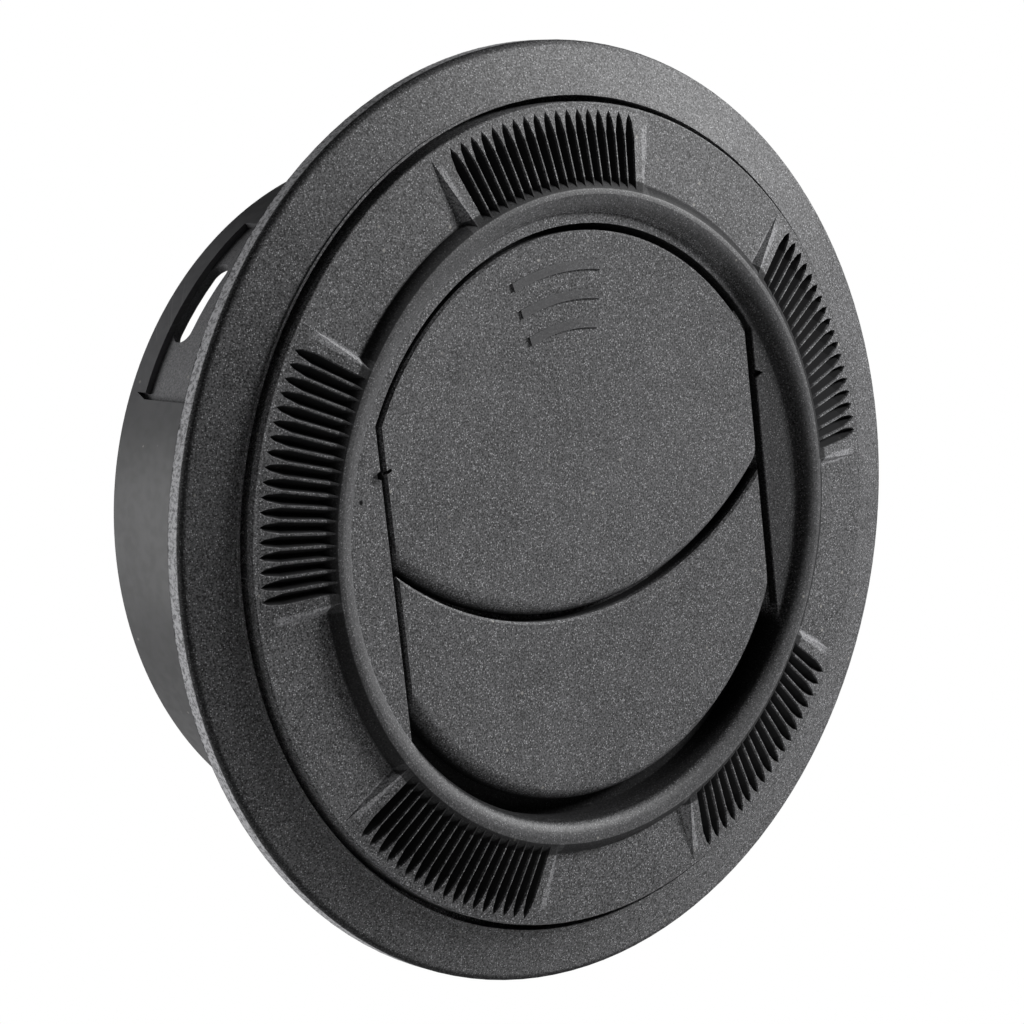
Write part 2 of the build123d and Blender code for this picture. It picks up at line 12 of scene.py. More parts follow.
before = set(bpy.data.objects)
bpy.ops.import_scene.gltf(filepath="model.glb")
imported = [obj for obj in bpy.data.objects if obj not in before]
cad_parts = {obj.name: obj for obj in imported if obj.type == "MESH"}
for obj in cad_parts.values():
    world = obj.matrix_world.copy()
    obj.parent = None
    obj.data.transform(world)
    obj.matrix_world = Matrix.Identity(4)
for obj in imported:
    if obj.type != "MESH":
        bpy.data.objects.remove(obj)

LOG = logging.getLogger("air_vent")
MM = 0.001

Colour = tuple[float, float, float]
Range = tuple[float, float]
Point = tuple[float, float]
Direction = tuple[float, float, float]

WHITE: Colour = (1.0, 1.0, 1.0)
FLOOR_GREY: Colour = (0.8, 0.8, 0.8)
DUST: Colour = (0.3, 0.29, 0.27)


class Term:
    """One shader value, so that shader maths reads as plain expressions."""

    def __init__(self, builder: "NodeBuilder", socket: bpy.types.NodeSocket) -> None:
        """Wrap an output socket of a builder's node tree."""
        self.builder = builder
        self.socket = socket

    def _math(self, operation: str, first: Any, second: Any, clamp: bool = False) -> "Term":
        """Add one Math node.

        Args:
            operation: The Math node's operation.
            first: First value or term.
            second: Second value or term.
            clamp: Whether the result is held between 0 and 1.

        Returns:
            The node's result.
        """
        settings = {"operation": operation, "use_clamp": clamp}
        return self.builder.add("ShaderNodeMath", settings, {0: first, 1: second})

    def __add__(self, other: Any) -> "Term":
        """Sum."""
        return self._math("ADD", self, other)

    def __radd__(self, other: Any) -> "Term":
        """Reflected sum."""
        return self._math("ADD", other, self)

    def __sub__(self, other: Any) -> "Term":
        """Difference."""
        return self._math("SUBTRACT", self, other)

    def __rsub__(self, other: Any) -> "Term":
        """Reflected difference."""
        return self._math("SUBTRACT", other, self)

    def __mul__(self, other: Any) -> "Term":
        """Product."""
        return self._math("MULTIPLY", self, other)

    def __rmul__(self, other: Any) -> "Term":
        """Reflected product."""
        return self._math("MULTIPLY", other, self)

    def __truediv__(self, other: Any) -> "Term":
        """Quotient."""
        return self._math("DIVIDE", self, other)

    def __rtruediv__(self, other: Any) -> "Term":
        """Reflected quotient."""
        return self._math("DIVIDE", other, self)

    def __pow__(self, other: Any) -> "Term":
        """Power."""
        return self._math("POWER", self, other)

    def clamped(self) -> "Term":
        """The value held between 0 and 1."""
        return self._math("ADD", self, 0.0, clamp=True)

    def ramp(self, low: float, high: float) -> "Term":
        """Smooth step of the value.

        Args:
            low: Value that gives 0.
            high: Value that gives 1.

        Returns:
            A term that runs smoothly from 0 to 1.
        """
        settings = {"interpolation_type": "SMOOTHSTEP"}
        inputs = {"Value": self, "From Min": low, "From Max": high, "To Min": 0.0, "To Max": 1.0}
        return self.builder.add("ShaderNodeMapRange", settings, inputs)

    def fall(self, low: float, high: float) -> "Term":
        """Smooth step from 1 at the low value down to 0 at the high one."""
        return 1.0 - self.ramp(low, high)

    def band(self, low: float, high: float, soft: float) -> "Term":
        """Mask of the values between two limits.

        Args:
            low: Lower limit.
            high: Upper limit.
            soft: Width over which the mask fades outside both limits.

        Returns:
            A term that is 1 between the limits and 0 beyond the fades.
        """
        return self.ramp(low - soft, low) * self.fall(high, high + soft)

    def most(self, other: Any) -> "Term":
        """The larger of two values."""
        return self._math("MAXIMUM", self, other)

    def away_from(self, centre: float, pitch: float) -> "Term":
        """Distance to the nearest of evenly repeated centres.

        Args:
            centre: One of the centres.
            pitch: Distance between two centres.

        Returns:
            A term from 0 to half the pitch.
        """
        return self._math("PINGPONG", self - centre, pitch / 2)


class Noise(Enum):
    """Noise patterns: cells per metre, octaves and weight of each finer octave."""

    CLOUDS = (60.0, 3.0, 0.55)
    MOTTLE = (260.0, 2.0, 0.5)
    RAGGED_EDGE = (900.0, 3.0, 0.6)
    TRIM_LINE = (1400.0, 2.0, 0.6)
    NICKS = (1100.0, 2.0, 0.6)
    COLLAR_SMEAR = (45.0, 3.0, 0.6)
    FLAP_SMEAR = (110.0, 3.0, 0.6)
    SCUFF_BLOTS = (2200.0, 2.0, 0.6)
    LINK_HAZE = (150.0, 2.0, 0.5)


class NodeBuilder:
    """Builds one material's or world's node tree."""

    def __init__(self, tree: bpy.types.NodeTree) -> None:
        """Start with an empty tree."""
        self.tree = tree
        tree.nodes.clear()

    def node(self, kind: str, settings: dict[str, Any], inputs: dict[Any, Any]) -> bpy.types.Node:
        """Add a node.

        Args:
            kind: The node's type.
            settings: Properties that are set before the sockets.
            inputs: Values, sockets or terms by socket name or number.

        Returns:
            The new node.
        """
        made = self.tree.nodes.new(kind)
        for name, value in settings.items():
            setattr(made, name, value)
        for name, value in inputs.items():
            source = value.socket if isinstance(value, Term) else value
            if isinstance(source, bpy.types.NodeSocket):
                self.tree.links.new(source, made.inputs[name])
            else:
                made.inputs[name].default_value = source
        return made

    def add(self, kind: str, settings: dict[str, Any], inputs: dict[Any, Any], output: Any = 0) -> Term:
        """Add a node and give one of its outputs.

        Args:
            kind: The node's type.
            settings: Properties that are set before the sockets.
            inputs: Values, sockets or terms by socket name or number.
            output: Name or number of the output that is wanted.

        Returns:
            The output as a term.
        """
        return Term(self, self.node(kind, settings, inputs).outputs[output])

    def mix(self, factor: Any, first: Any, second: Any) -> Term:
        """Mix two colours.

        Args:
            factor: Share of the second colour.
            first: Colour at factor 0.
            second: Colour at factor 1.

        Returns:
            The mixed colour.
        """
        factor_input, first_input, second_input, colour_output = 0, 6, 7, 2
        sides = {factor_input: factor, first_input: rgba(first), second_input: rgba(second)}
        return self.add("ShaderNodeMix", {"data_type": "RGBA"}, sides, colour_output)

    def blend(self, factor: Any, first: bpy.types.Node, second: bpy.types.Node) -> bpy.types.NodeSocket:
        """Mix two shaders.

        Args:
            factor: Share of the second shader.
            first: Shader at factor 0.
            second: Shader at factor 1.

        Returns:
            The mixed shader's socket.
        """
        sides = {0: factor, 1: first.outputs[0], 2: second.outputs[0]}
        return self.node("ShaderNodeMixShader", {}, sides).outputs[0]

    def object_point(self) -> Term:
        """Object coordinates, in metres in the part's frame."""
        return self.add("ShaderNodeTexCoord", {}, {}, "Object")

    def noise(self, scale: float, detail: float, rough: float) -> Term:
        """Noise between 0 and 1.

        Args:
            scale: Cells per metre.
            detail: Octaves.
            rough: Weight of each finer octave.

        Returns:
            The noise value.
        """
        inputs = {"Vector": self.object_point(), "Scale": scale, "Detail": detail, "Roughness": rough}
        return self.add("ShaderNodeTexNoise", {"noise_dimensions": "3D"}, inputs, "Fac")

    def cells(self, scale: float) -> Term:
        """Distance from the middle of the nearest cell.

        Args:
            scale: Cells per metre.

        Returns:
            The distance, as a share of a cell.
        """
        inputs = {"Vector": self.object_point(), "Scale": scale}
        return self.add("ShaderNodeTexVoronoi", {"feature": "F1"}, inputs, "Distance")

    def cell_chance(self, scale: float) -> Term:
        """One chance value for each cell, between 0 and 1.

        Args:
            scale: Cells per metre.

        Returns:
            The nearest cell's own value.
        """
        inputs = {"Vector": self.object_point(), "Scale": scale}
        colour = self.add("ShaderNodeTexVoronoi", {"feature": "F1"}, inputs, "Color")
        return self.add("ShaderNodeSeparateColor", {}, {0: colour})

    def bump(self, height: Any, strength: float, distance: float) -> Term:
        """Bump from a height.

        Args:
            height: Height between 0 and 1.
            strength: Share of the bump that shows.
            distance: Real height of 1, in metres.

        Returns:
            The bumped normal.
        """
        inputs = {"Height": height, "Strength": strength, "Distance": distance}
        return self.add("ShaderNodeBump", {}, inputs)


def rgba(colour: Any) -> Any:
    """Give a plain colour its alpha, and leave a term as it is."""
    return (*colour, 1.0) if isinstance(colour, tuple) else colour


@dataclass(frozen=True)
class Blemish:
    """Small irregular mark, in millimetres.

    Attributes:
        x: Centre across the vent.
        z: Centre up the vent.
        size: Radius at which the mark has faded.
        ragged: Share of the radius by which its edge wanders.
    """

    x: float
    z: float
    size: float
    ragged: float = 0.35


class Place:
    """Where a point of the surface lies on the vent, in millimetres and degrees."""

    CORE_SHARE = 0.4

    def __init__(self, build: NodeBuilder) -> None:
        """Split the object coordinates into the vent's own ones.

        Args:
            build: The material's node builder.
        """
        split = build.node("ShaderNodeSeparateXYZ", {}, {0: build.object_point()})
        self.build = build
        self.x = Term(build, split.outputs["X"]) / MM
        self.z = Term(build, split.outputs["Z"]) / MM
        self.height = Term(build, split.outputs["Y"]) / -MM
        self.radius = (self.x * self.x + self.z * self.z) ** 0.5

    def angle(self) -> Term:
        """Degrees round the axis, from the right towards the top."""
        turn = self.build.add("ShaderNodeMath", {"operation": "ARCTAN2"}, {0: self.z, 1: self.x})
        return turn * (180.0 / math.pi)

    def noise(self, pattern: Noise) -> Term:
        """One of the named noise patterns."""
        return self.build.noise(*pattern.value)

    def spot(self, mark: Blemish) -> Term:
        """Mask of a blemish.

        Args:
            mark: The blemish.

        Returns:
            A term that is 1 in the middle of the blemish.
        """
        across = self.x - mark.x
        along = self.z - mark.z
        reach = (across * across + along * along) ** 0.5
        wander = (self.noise(Noise.RAGGED_EDGE) - 0.5) * (2.0 * mark.ragged * mark.size)
        return (reach + wander).fall(self.CORE_SHARE * mark.size, mark.size)


@dataclass
class Zones:
    """Where one piece differs from its plain finish; each mask runs from 0 to 1.

    Attributes:
        smooth: Share of the grain that is missing.
        marks_and_painted_shade: Share of dirt, nicks and dark joints, and of painted shade in grooves, gaps
            and hollows.
        pale: Share of polish, dust, scuffs and smears, and of painted light and painted highlights, that
            lightens the surface.
        coarse: Share of the coarser grain.
        polish: Share by which fingers have rubbed the surface darker and glossier.
    """

    smooth: Any = 0.0
    marks_and_painted_shade: Any = 0.0
    pale: Any = 0.0
    coarse: Any = 0.0
    polish: Any = 0.0


ZoneMaker = Callable[[Place], Zones]


@dataclass(frozen=True)
class MouldedPlastic:
    """Black moulded plastic: tone, gloss and grain of one finish.

    The grain is the texture that a spark-eroded mould leaves; its brightest facets get painted glints.
    Shades are shares of the tone.

    Attributes:
        tone: Colour of the plain surface.
        roughness: Roughness of the plain surface.
        specular: Specular level.
        grain_size: Width of a pit, in metres.
        grain_height: Depth of a pit, in metres.
        grain_strength: Share of the bump that shows.
        grain_contrast: Share by which the pits are darker than the crests.
        painted_glint_share: Share of the painted glints on the grain's facets.
        wear: Share of polish on sharp outer edges.
        dust: Share of the dust specks.
        pit_shade: Shade at the bottom of a pit.
        crest_shade: Shade on a crest.
        painted_glint_shade: Shade of a painted glint on a facet.
        rubbed_shade: Shade of a place that fingers have polished.
        scuff_and_painted_light_shade: Shade of a place with scuffs or dust, and of painted light.
        edge_shade: Shade of a worn edge.
        hidden_shade: Colour of the painted shade on a place that gets no light.
        mottle_share: Share of the broad unevenness in the tone.
        dust_cells: Places per metre where a speck may lie.
    """

    tone: Colour
    roughness: float
    specular: float
    grain_size: float
    grain_height: float
    grain_strength: float
    grain_contrast: float
    painted_glint_share: float
    wear: float
    dust: float
    pit_shade: float = 0.1
    crest_shade: float = 1.4
    painted_glint_shade: float = 5.6
    rubbed_shade: float = 0.6
    scuff_and_painted_light_shade: float = 5.0
    edge_shade: float = 2.6
    hidden_shade: float = 0.12
    mottle_share: float = 0.16
    dust_cells: float = 700.0

    def material(self, name: str, zone_maker: ZoneMaker) -> bpy.types.Material:
        """Build the finish for one piece.

        Args:
            name: The material's name.
            zone_maker: Gives the piece's zones from a place on its surface.

        Returns:
            A material whose colour, roughness and normal vary over the surface.
        """
        made = bpy.data.materials.new(name)
        made.use_nodes = True
        build = NodeBuilder(made.node_tree)
        place = Place(build)
        zones = zone_maker(place)
        grain = self._grain(build, zones)
        edge = self._edge_mask(build) * self.wear
        mottle = self._mottle(place)
        inputs = {
            "Base Color": self._colour(build, zones, grain, edge, mottle),
            "Roughness": self._gloss(zones, grain, edge, mottle),
            "Specular IOR Level": self.specular,
            "Normal": build.bump(grain, self.grain_strength, self.grain_height),
        }
        plastic = build.node("ShaderNodeBsdfPrincipled", {}, inputs)
        # Painted shade: a dark diffuse stands in for shade in grooves, gaps and hollows; the same mask also
        # holds real dirt, nicks and joints.
        painted_shade_bsdf = build.node("ShaderNodeBsdfDiffuse", {}, {"Color": rgba(self._shade(self.hidden_shade))})
        surface = build.blend(zones.marks_and_painted_shade, plastic, painted_shade_bsdf)
        build.node("ShaderNodeOutputMaterial", {}, {"Surface": surface})
        return made

    def _shade(self, share: float) -> Colour:
        """The tone made lighter or darker."""
        return tuple(share * value for value in self.tone)

    def _colour(self, build: NodeBuilder, zones: Zones, grain: Term, edge: Term, mottle: Term) -> Term:
        """Layer the colour from the grain up to the dust, with painted glints and painted light among the
        layers.

        Args:
            build: The material's node builder.
            zones: The piece's zones.
            grain: Height of the grain.
            edge: Share of wear on sharp edges.
            mottle: Broad unevenness.

        Returns:
            The surface's colour.
        """
        level = 0.5 + (grain.ramp(0.36, 0.64) - 0.5) * self.grain_contrast
        ground = level * (1.0 - self.mottle_share) + mottle * self.mottle_share
        # Painted glints: the brightest facets of the grain get a light colour that stands in for
        # highlights.
        painted_glint = self._painted_glints(build) * (1.0 - zones.smooth) * self.painted_glint_share
        # Scuffs, smears and dust, together with painted light such as on the rim wall and the pads' ends.
        scuffs_and_painted_light = zones.pale * (0.3 + level * 0.7)
        colour = build.mix(ground, self._shade(self.pit_shade), self._shade(self.crest_shade))
        colour = build.mix(painted_glint, colour, self._shade(self.painted_glint_shade))
        colour = build.mix(zones.polish, colour, self._shade(self.rubbed_shade))
        colour = build.mix(scuffs_and_painted_light, colour, self._shade(self.scuff_and_painted_light_shade))
        colour = build.mix(edge * 0.4, colour, self._shade(self.edge_shade))
        return build.mix(self._dust_specks(build) * self.dust, colour, DUST)

    def _gloss(self, zones: Zones, grain: Term, edge: Term, mottle: Term) -> Term:
        """Roughness, lower on crests, worn edges and polished places.

        Args:
            zones: The piece's zones.
            grain: Height of the grain.
            edge: Share of wear on sharp edges.
            mottle: Broad unevenness.

        Returns:
            The surface's roughness.
        """
        uneven = self.roughness + (mottle - 0.5) * 0.08 + (0.5 - grain) * 0.2
        return (uneven - edge * 0.1 - zones.polish * 0.1).clamped()

    def _mottle(self, place: Place) -> Term:
        """Broad unevenness of the tone, around 0.5."""
        return (place.noise(Noise.CLOUDS) * 0.6 + place.noise(Noise.MOTTLE) * 0.4).ramp(0.3, 0.7)

    def _grain(self, build: NodeBuilder, zones: Zones) -> Term:
        """Height of the grain around 0.5, weaker where a zone is smooth.

        Args:
            build: The material's node builder.
            zones: The piece's zones.

        Returns:
            The grain's height.
        """
        per_metre = 1.0 / self.grain_size
        average = 0.49
        fine = build.noise(per_metre, 1.5, 0.55)
        pits = build.cells(per_metre * 0.9)
        grain = fine * 0.75 + pits * 0.25
        coarse = build.noise(per_metre * 0.55, 2.0, 0.65)
        return 0.5 + (grain - average + (coarse - grain) * zones.coarse) * (1.0 - zones.smooth)

    def _painted_glints(self, build: NodeBuilder) -> Term:
        """Mask of the grain's facets that get a painted glint, each of its own brightness.

        Args:
            build: The material's node builder.

        Returns:
            A term that is 1 on the brightest facets.
        """
        per_metre = 1.0 / self.grain_size
        near = build.cells(per_metre).fall(0.12, 0.5)
        return near * build.cell_chance(per_metre).ramp(0.2, 1.0) ** 1.6

    def _dust_specks(self, build: NodeBuilder) -> Term:
        """Mask of a few tiny specks of dust."""
        near = build.cells(self.dust_cells).fall(0.08, 0.16)
        return near * build.cell_chance(self.dust_cells).ramp(0.93, 0.96)

    def _edge_mask(self, build: NodeBuilder) -> Term:
        """Mask that is 1 on sharp edges and 0 on flats.

        Args:
            build: The material's node builder.

        Returns:
            The mask.
        """
        rounded = build.add("ShaderNodeBevel", {"samples": 4}, {"Radius": 0.2 * MM})
        plain = build.add("ShaderNodeNewGeometry", {}, {}, "Normal")
        settings = {"operation": "DOT_PRODUCT"}
        facing = build.add("ShaderNodeVectorMath", settings, {0: rounded, 1: plain}, "Value")
        return (1.0 - facing).ramp(0.02, 0.25)


GRAINED = MouldedPlastic(
    tone=(0.07, 0.07, 0.0725),
    roughness=0.6,
    specular=0.2,
    grain_size=0.2 * MM,
    grain_height=0.03 * MM,
    grain_strength=0.8,
    grain_contrast=1.0,
    painted_glint_share=0.9,
    wear=0.4,
    dust=0.6,
)
SATIN = MouldedPlastic(
    tone=(0.052, 0.052, 0.054),
    roughness=0.4,
    specular=0.32,
    grain_size=1.2 * MM,
    grain_height=0.01 * MM,
    grain_strength=0.4,
    grain_contrast=0.12,
    painted_glint_share=0.0,
    wear=0.3,
    dust=0.4,
)


@dataclass
class Housing:
    """Bezel and duct collar, which stay still; sizes in millimetres.

    A range gives where a mask starts and where it is full.

    Attributes:
        rim_skin: Radii of the flange's outer wall.
        wall_heights: Heights of the wall's coarse band with painted light.
        back_heights: Heights of the dark trimmed edge at the panel.
        crease_radii: Radii of the painted shade in the crease between wall and face.
        crease_heights: Heights of that crease.
        crease_side: Places across the vent between which the crease's painted shade fades.
        neck_heights: Heights below which the bezel is the neck.
        scuff_middle: Place across the vent of the collar's drag scuffs.
        scuff_rise: Heights up the vent at which the scuffs start.
        scuff_heights: Heights of the scuffs along the axis.
        rear_edge: Heights of the collar's nicked rear edge.
        strip_rise: Heights up the vent of the strip of painted light by the window.
        strip_side: Places across the vent between which the strip fades.
    """

    rim_skin: Range = (49.65, 49.9)
    wall_heights: Range = (0.15, 1.4)
    back_heights: Range = (0.05, 0.22)
    crease_radii: Range = (49.25, 49.65)
    crease_heights: Range = (1.45, 1.65)
    crease_side: Range = (-5.0, 25.0)
    neck_heights: Range = (-0.5, -0.2)
    scuff_middle: float = -27.5
    scuff_rise: Range = (10.0, 20.0)
    scuff_heights: Range = (-26.35, -20.0)
    rear_edge: Range = (-26.33, -26.05)
    strip_rise: Range = (12.0, 22.0)
    strip_side: Range = (-22.0, -12.0)

    def dress(self) -> None:
        """Give both solids their materials."""
        dress_node("bezel", GRAINED.material("bezel_plastic", self._bezel_zones))
        dress_node("duct_collar", SATIN.material("collar_plastic", self._collar_zones))

    def _bezel_zones(self, place: Place) -> Zones:
        """Coarse rim wall with painted light, painted shade in the crease, a dark back edge and a smoother
        neck.

        Args:
            place: Where the point of the surface lies.

        Returns:
            The bezel's zones.
        """
        at_rim = place.radius.ramp(*self.rim_skin)
        # The wall's pale band is painted light; its coarser grain is the wall's own.
        wall = at_rim * place.height.band(*self.wall_heights, soft=0.12)
        jag = (place.noise(Noise.TRIM_LINE) - 0.5) * 0.5
        back = at_rim * (place.height + jag).fall(*self.back_heights)
        # Painted shade in the crease between wall and face, fading out towards the right.
        crease = place.radius.ramp(*self.crease_radii) * place.height.ramp(*self.crease_heights)
        crease = crease * place.x.fall(*self.crease_side)
        neck = place.height.fall(*self.neck_heights)
        marks_and_painted_shade = (back * 0.9).most(crease * 0.7)
        return Zones(smooth=neck * 0.7, marks_and_painted_shade=marks_and_painted_shade, pale=wall.most(neck * 0.4), coarse=wall)

    def _collar_zones(self, place: Place) -> Zones:
        """Drag scuffs near the rear edge at the upper left, a broad smear, nicks and painted light on a
        strip by the window.

        Args:
            place: Where the point of the surface lies.

        Returns:
            The collar's zones.
        """
        aside = place.x - self.scuff_middle
        patch = (aside * aside).fall(4.0, 13.0) * place.z.ramp(*self.scuff_rise)
        patch = patch * place.height.band(*self.scuff_heights, soft=3.0)
        scuffs = patch * self._drag_lines(place).ramp(0.52, 0.66)
        smear = place.noise(Noise.COLLAR_SMEAR).ramp(0.45, 0.7)
        nicks = place.height.fall(*self.rear_edge) * place.noise(Noise.NICKS).ramp(0.45, 0.6)
        # Painted light on a strip at the upper left by the window.
        strip = place.z.ramp(*self.strip_rise) * place.x.fall(*self.strip_side)
        pale = (scuffs * 0.6).most(smear * 0.12).most(strip * 0.35)
        return Zones(marks_and_painted_shade=nicks * 0.7, pale=pale)

    def _drag_lines(self, place: Place) -> Term:
        """Noise that is drawn out into slanting lines.

        Args:
            place: Where the point of the surface lies.

        Returns:
            The noise value, between 0 and 1.
        """
        slant = (place.height + place.z * 0.9) * 0.7
        inputs = {"W": slant, "Scale": 3.2, "Detail": 3.0, "Roughness": 0.6}
        return place.build.add("ShaderNodeTexNoise", {"noise_dimensions": "1D"}, inputs, "Fac")


@dataclass
class GripRing:
    """Ring that turns in the bezel; sizes in millimetres and degrees.

    Attributes:
        bead_inner: Radius where the bead's outer flank starts.
        bead_outer: Radius where the flank ends.
        bead_foot: Height of the flank's foot.
        crest: Radius of the bead's crest.
        crest_heights: Heights between which the crest's polish starts.
        pad_centre: Angle of the top pad.
        pad_pitch: Angle between two pads.
        groove_reach: Angle from a pad's middle to its last groove.
        facet_reach: Angles of a pad's sloping end.
        facet_heights: Heights between which the painted highlight on that end starts.
        pad_inner: Radius and height of a pad's top at its inner end.
        pad_outer: Radius and height of a pad's top at its outer end.
        plate_height: Height of the front plate's face.
        shaded_right: Places across the vent where the painted shade inside the bead starts.
        shaded_low: Places up the vent below which the bead's inside gets painted shade.
        plate_edge: Radii between which the plate's side walls, which get painted shade, end.
        pit: Painted shade of a small pit in the plate at the left.
        smear: Smear above the pit.
        notch_shadow: Dirt by the plate's small notch.
    """

    bead_inner: float = 34.62
    bead_outer: float = 35.7
    bead_foot: float = 5.9
    crest: float = 32.7
    crest_heights: Range = (6.3, 6.8)
    pad_centre: float = 90.0
    pad_pitch: float = 72.0
    groove_reach: float = 19.1
    facet_reach: Range = (19.6, 20.9)
    facet_heights: Range = (5.2, 5.5)
    pad_inner: Point = (34.55, 7.12)
    pad_outer: Point = (43.0, 5.02)
    plate_height: float = 6.0
    shaded_right: Range = (21.0, 26.0)
    shaded_low: Range = (-17.0, -15.0)
    plate_edge: Range = (31.2, 31.5)
    pit: Blemish = Blemish(-29.84, 8.1, 0.36, 0.2)
    smear: Blemish = Blemish(-29.2, 12.2, 1.0)
    notch_shadow: Blemish = Blemish(-27.6, 10.15, 0.9)

    def dress(self) -> None:
        """Give the ring its material."""
        dress_node("grip_ring", GRAINED.material("ring_plastic", self._zones))

    def _zones(self, place: Place) -> Zones:
        """Smooth flank of the bead and smooth grooves, both with painted shade, painted shade inside the
        bead and on the plate's walls, painted highlights on the pads' ends, polish and small blemishes.

        Args:
            place: Where the point of the surface lies.

        Returns:
            The ring's zones.
        """
        flank = place.radius.band(self.bead_inner, self.bead_outer, 0.12)
        flank = flank * place.height.ramp(self.bead_foot, self.bead_foot + 0.15)
        grooves = self._grooves(place)
        on_plate = place.height.band(self.plate_height - 0.3, self.plate_height + 0.3, 0.1)
        roll = place.radius.band(self.crest, self.bead_inner, 0.3) * place.height.ramp(*self.crest_heights)
        # Painted shade in the grooves, on the bead's flank and in the pit.
        marks_and_painted_shade = (grooves * 0.82).most(flank * 0.72).most(place.spot(self.pit) * on_plate)
        marks_and_painted_shade = marks_and_painted_shade.most(place.spot(self.smear) * on_plate * 0.4)
        marks_and_painted_shade = marks_and_painted_shade.most(place.spot(self.notch_shadow) * on_plate * 0.6)
        # Painted shade inside the bead and on the plate's cut walls.
        marks_and_painted_shade = marks_and_painted_shade.most(self._painted_shade_inside(place)).most(self._painted_plate_wall_shade(place) * 0.85)
        # Painted highlight on the pads' sloping ends.
        pale = self._painted_facet_highlight(place) * 0.45
        return Zones(smooth=(flank * 0.6).most(grooves), marks_and_painted_shade=marks_and_painted_shade, pale=pale, polish=roll * 0.55)

    def _from_pad(self, place: Place) -> Term:
        """Degrees from the middle of the nearest pad."""
        return place.angle().away_from(self.pad_centre, self.pad_pitch)

    def _painted_facet_highlight(self, place: Place) -> Term:
        """Mask of the painted highlight on the sloping ends of the pads."""
        facet = self._from_pad(place).band(*self.facet_reach, soft=0.3)
        return facet * place.height.ramp(*self.facet_heights) * place.radius.band(34.8, 43.0, 0.5)

    def _grooves(self, place: Place) -> Term:
        """Mask of what lies below the pads' tops, between their ends.

        Args:
            place: Where the point of the surface lies.

        Returns:
            A term that is 1 in a groove.
        """
        slope = (self.pad_outer[1] - self.pad_inner[1]) / (self.pad_outer[0] - self.pad_inner[0])
        top = (place.radius - self.pad_inner[0]) * slope + self.pad_inner[1]
        inside = self._from_pad(place).fall(self.groove_reach, self.groove_reach + 0.4)
        below_top = (top - place.height).ramp(0.06, 0.3)
        return below_top * inside * place.radius.band(self.bead_inner + 0.1, self.pad_outer[0], 0.1)

    def _painted_shade_inside(self, place: Place) -> Term:
        """Painted shade on the inside of the bead at the right and below, where the opening is dark.

        Args:
            place: Where the point of the surface lies.

        Returns:
            Share of the painted shade there.
        """
        inside_roll = place.radius.fall(self.crest - 0.3, self.crest + 0.5)
        proud = place.height.ramp(self.plate_height - 0.1, self.plate_height)
        right = place.x.ramp(*self.shaded_right) * proud
        below = place.z.fall(*self.shaded_low) * (place.x * place.x).fall(700.0, 735.0)
        below = below * place.height.fall(6.3, 6.9)
        return (right * inside_roll * 0.6).most(below * inside_roll * 0.9)

    def _painted_plate_wall_shade(self, place: Place) -> Term:
        """Painted shade on the cut walls of the plate beside the flaps."""
        depth = place.height.band(self.plate_height - 1.15, self.plate_height - 0.22, 0.08)
        return depth * place.radius.fall(*self.plate_edge)


@dataclass
class Flaps:
    """The two flaps and the bar that links them; sizes in millimetres.

    Attributes:
        face: Height of a flap's face.
        back: Height of a flap's back.
        mark_top: Height of the raised finger marks.
        marks_worn: Places across the vent between which the marks wear faint.
        scuffs: Scuffs at the upper left.
    """

    face: float = 5.8
    back: float = 3.6
    mark_top: float = 6.0
    marks_worn: Range = (-1.0, 5.0)
    scuffs: tuple[Blemish, Blemish] = (Blemish(-14.75, 20.7, 1.7, 0.6), Blemish(-16.1, 18.7, 1.5, 0.6))

    def dress(self) -> None:
        """Give the flaps and the link their materials."""
        dress_node("upper_flap", GRAINED.material("upper_flap_plastic", self._upper_zones))
        dress_node("lower_flap", GRAINED.material("lower_flap_plastic", self._lower_zones))
        dress_node("link_bar", SATIN.material("link_plastic", self._link_zones))

    def _upper_zones(self, place: Place) -> Zones:
        """Smooth finger marks, worn faint towards the right, two scuffs and painted shade on the flap's
        edge in the gap.

        Args:
            place: Where the point of the surface lies.

        Returns:
            The upper flap's zones.
        """
        mark = place.height.ramp(self.mark_top - 0.06, self.mark_top - 0.02)
        worn = place.x.ramp(*self.marks_worn)
        on_face = place.height.ramp(self.face - 0.1, self.face - 0.02)
        blots = place.noise(Noise.SCUFF_BLOTS).ramp(0.45, 0.6)
        first, second = self.scuffs
        scuffs = (place.spot(first) + place.spot(second)) * blots * on_face
        return Zones(smooth=mark * (0.85 - worn * 0.5), marks_and_painted_shade=(scuffs * 0.45).most(self._painted_gap_shade(place)))

    def _lower_zones(self, place: Place) -> Zones:
        """A faint smear and painted shade on the flap's edge in the gap."""
        smear = place.noise(Noise.FLAP_SMEAR).ramp(0.55, 0.75) * 0.12
        return Zones(marks_and_painted_shade=smear.most(self._painted_gap_shade(place)))

    def _painted_gap_shade(self, place: Place) -> Term:
        """Painted shade on the edge of a flap inside the gap, with the lip behind it."""
        in_front = place.height.ramp(self.back + 0.02, self.back + 0.06)
        return in_front * place.height.fall(self.face - 1.2, self.face - 0.12) * 0.92

    def _link_zones(self, place: Place) -> Zones:
        """A faint haze all over."""
        return Zones(pale=place.noise(Noise.LINK_HAZE).ramp(0.5, 0.8) * 0.05)


def dress_node(name: str, material: bpy.types.Material) -> None:
    """Give a solid one material.

    Args:
        name: The solid's node name.
        material: The material that replaces its plain one.
    """
    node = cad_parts[name]
    node.data.materials.clear()
    node.data.materials.append(material)
    LOG.info("dressed %s with %s", name, material.name)


@dataclass(frozen=True)
class SoftBox:
    """Square soft box that faces the vent.

    Attributes:
        direction: Where it stands, seen from the vent.
        distance: Distance from the vent, in metres.
        size: Length of a side, in metres.
        power: Power in watts.
    """

    direction: Direction
    distance: float
    size: float
    power: float


